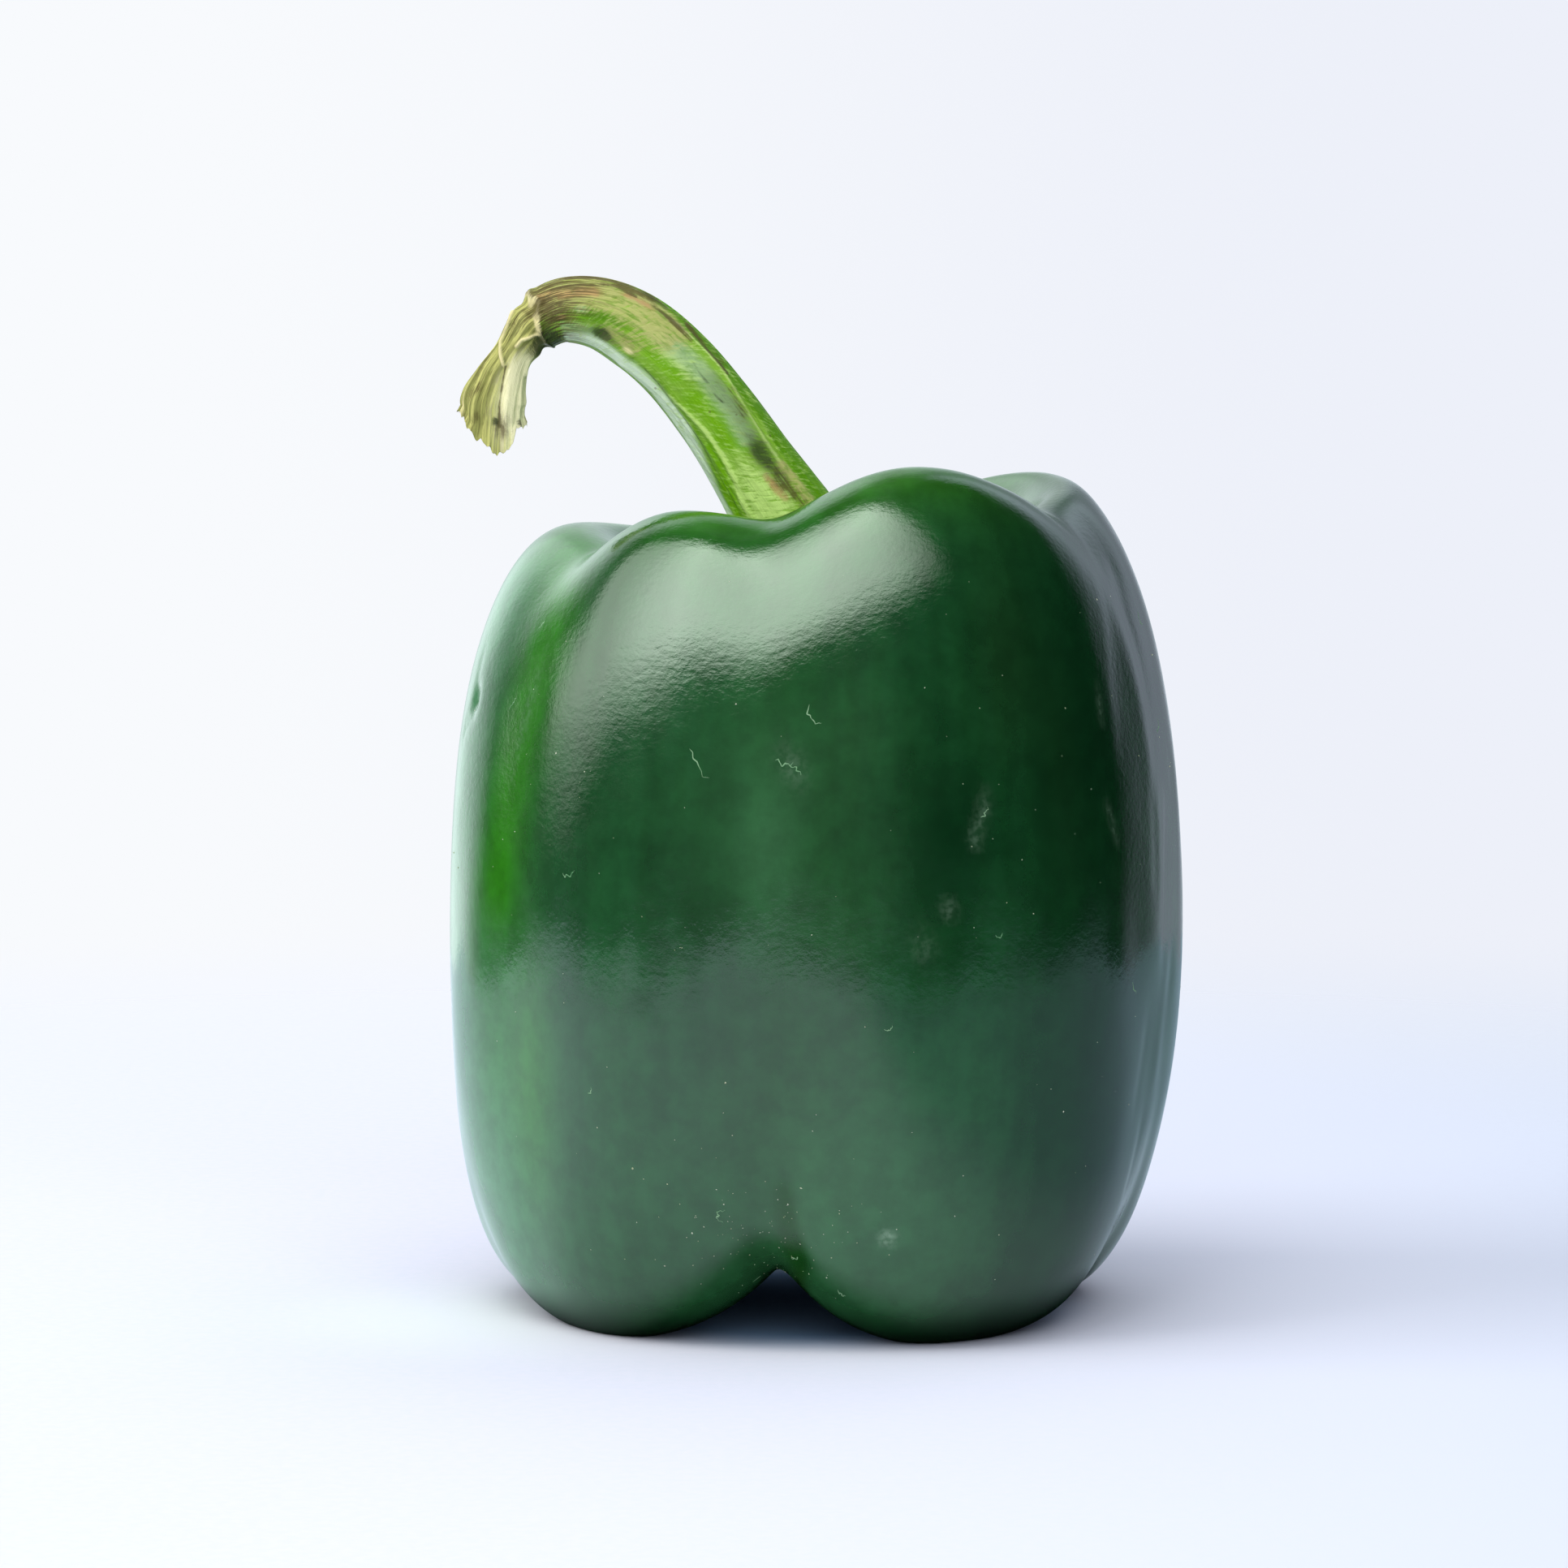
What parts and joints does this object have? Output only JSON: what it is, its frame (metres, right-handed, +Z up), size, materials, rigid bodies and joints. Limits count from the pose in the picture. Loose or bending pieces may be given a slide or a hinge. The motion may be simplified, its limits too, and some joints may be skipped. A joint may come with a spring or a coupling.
{
  "type": "green bell pepper",
  "caption": "Blocky lobed bell pepper with its calyx and bent stem, as picked, standing upright on its lobed feet.",
  "frame": {"origin": "middle of the underside, level with the feet", "axes": "+Z up through the stem end, -Y towards the front with two feet side by side, +X to the viewer's right; the stem bends towards -X"},
  "size_m": [0.0848, 0.0798, 0.1185],
  "materials": {
    "skin": "waxy, glossy dark green skin, lighter in the side furrows",
    "stem": "ribbed matt green stem with brown bruises and a dry cream torn end"
  },
  "bodies": {
    "root": {"fruit": "skin", "stem": "stem"}
  },
  "joints": []
}
